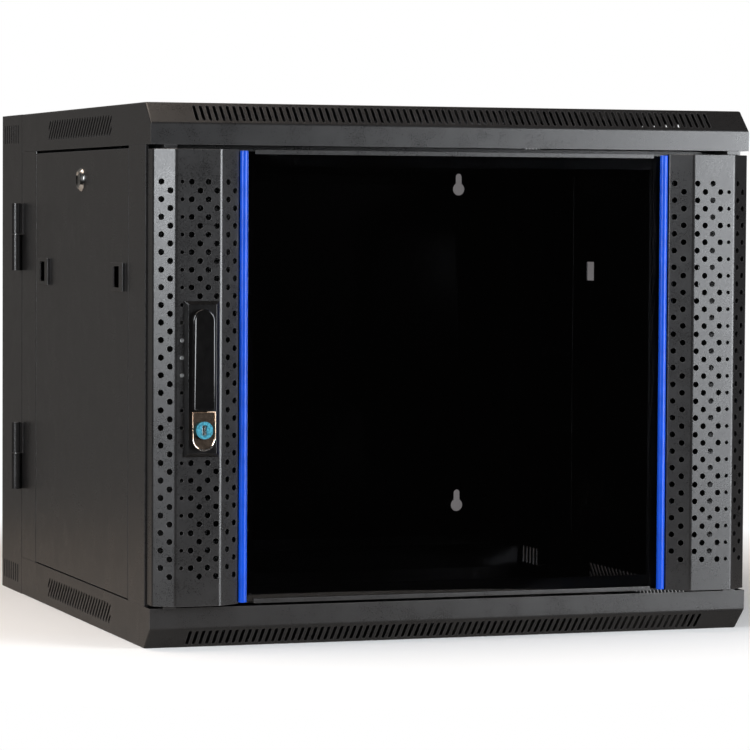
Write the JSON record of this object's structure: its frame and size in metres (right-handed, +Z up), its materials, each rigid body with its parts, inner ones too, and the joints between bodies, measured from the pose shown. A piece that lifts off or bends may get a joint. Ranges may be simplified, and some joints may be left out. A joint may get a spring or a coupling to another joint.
{
  "type": "network server rack cabinet",
  "caption": "Wall-mounted swing-out network cabinet with smoked glass door between perforated strips, swing handle, vented covers, side panels and 19-inch rails.",
  "frame": {"origin": "underside of the bottom tray, in the middle of the 600 x 600 mm footprint", "axes": "+Z up, +Y towards the wall behind the cabinet, the glass door faces -Y"},
  "size_m": [0.6149, 0.6249, 0.5051],
  "materials": {
    "powder": "satin black powder coat",
    "rail": "satin black powder coat",
    "glass": "dark smoked toughened glass",
    "trim": "glossy blue plastic",
    "chrome": "polished",
    "zinc": "zinc plated",
    "enamel": "semi-gloss black enamel",
    "key_cap": "translucent light blue plastic"
  },
  "bodies": {
    "wall_section": {"wall_back": "powder", "wall_side_left": "powder", "wall_side_right": "powder", "wall_top": "powder", "wall_bottom": "powder", "cable_plate_top": "powder", "cable_plate_bottom": "powder", "knuckle_fixed_upper": "powder", "knuckle_fixed_lower": "powder", "hinge_pin_upper": "zinc", "hinge_pin_lower": "zinc"},
    "main_body": {"top_cover": "powder", "bottom_tray": "powder", "post_front_left": "powder", "post_front_right": "powder", "post_rear_left": "powder", "post_rear_right": "powder", "frame_bottom_front": "powder", "frame_top_front": "powder", "frame_bottom_rear": "powder", "frame_top_rear": "powder", "depth_bar_bottom_left": "rail", "depth_bar_bottom_right": "rail", "depth_bar_top_left": "rail", "depth_bar_top_right": "rail", "rail_front_left": "rail", "rail_front_right": "rail", "rail_rear_left": "rail", "rail_rear_right": "rail", "knuckle_moving_upper": "powder", "knuckle_moving_lower": "powder", "body_lock_bezel": "chrome"},
    "front_door": {"door_strip_left": "powder", "door_strip_right": "powder", "door_trim_left": "trim", "door_trim_right": "trim", "door_glass": "glass", "door_channel_bottom": "powder", "door_channel_top": "powder", "door_pin_bottom": "zinc", "door_pin_top": "zinc", "handle_base": "enamel", "handle_bracket": "zinc", "lock_plate": "chrome"},
    "handle_spindle": {"handle_spindle": "zinc", "latch_tongue": "zinc"},
    "handle_lever": {"handle_lever": "enamel"},
    "door_key": {"key_plug": "zinc", "key_cap": "key_cap"},
    "body_key": {"body_lock_plug": "chrome"},
    "left_panel": {"side_panel_left": "powder", "panel_lock_bezel_left": "chrome"},
    "right_panel": {"side_panel_right": "powder", "panel_lock_bezel_right": "chrome"},
    "left_panel_key": {"panel_lock_plug_left": "chrome"},
    "right_panel_key": {"panel_lock_plug_right": "chrome"}
  },
  "joints": [
    {"name": "body_swing", "type": "hinge", "parent": "wall_section", "child": "main_body", "pos_m": [-0.3062, 0.2085, 0.25], "axis": [0, 0, -1], "range_deg": [0, 90]},
    {"name": "door_swing", "type": "hinge", "parent": "main_body", "child": "front_door", "pos_m": [0.282, -0.296, 0.25], "axis": [0, 0, 1], "range_deg": [0, 160]},
    {"name": "handle_turn", "type": "hinge", "parent": "front_door", "child": "handle_spindle", "pos_m": [-0.255, -0.3173, 0.3047], "axis": [0, -1, 0], "range_deg": [0, 90]},
    {"name": "handle_lift", "type": "hinge", "parent": "handle_spindle", "child": "handle_lever", "pos_m": [-0.255, -0.3201, 0.3129], "axis": [-1, 0, 0], "range_deg": [0, 30]},
    {"name": "door_key_turn", "type": "hinge", "parent": "front_door", "child": "door_key", "pos_m": [-0.255, -0.3173, 0.2044], "axis": [0, -1, 0], "range_deg": [0, 90]},
    {"name": "left_panel_off", "type": "slide", "parent": "main_body", "child": "left_panel", "axis": [-1, 0, 0], "range_m": [0, 0.06]},
    {"name": "right_panel_off", "type": "slide", "parent": "main_body", "child": "right_panel", "axis": [1, 0, 0], "range_m": [0, 0.06]},
    {"name": "left_panel_key_turn", "type": "hinge", "parent": "left_panel", "child": "left_panel_key", "pos_m": [-0.3, -0.0434, 0.43505], "axis": [1, 0, 0], "range_deg": [0, 90]},
    {"name": "right_panel_key_turn", "type": "hinge", "parent": "right_panel", "child": "right_panel_key", "pos_m": [0.3, -0.0434, 0.43505], "axis": [1, 0, 0], "range_deg": [0, 90]},
    {"name": "body_key_turn", "type": "hinge", "parent": "main_body", "child": "body_key", "pos_m": [0.3, 0.1847, 0.25252], "axis": [1, 0, 0], "range_deg": [0, 90]}
  ]
}
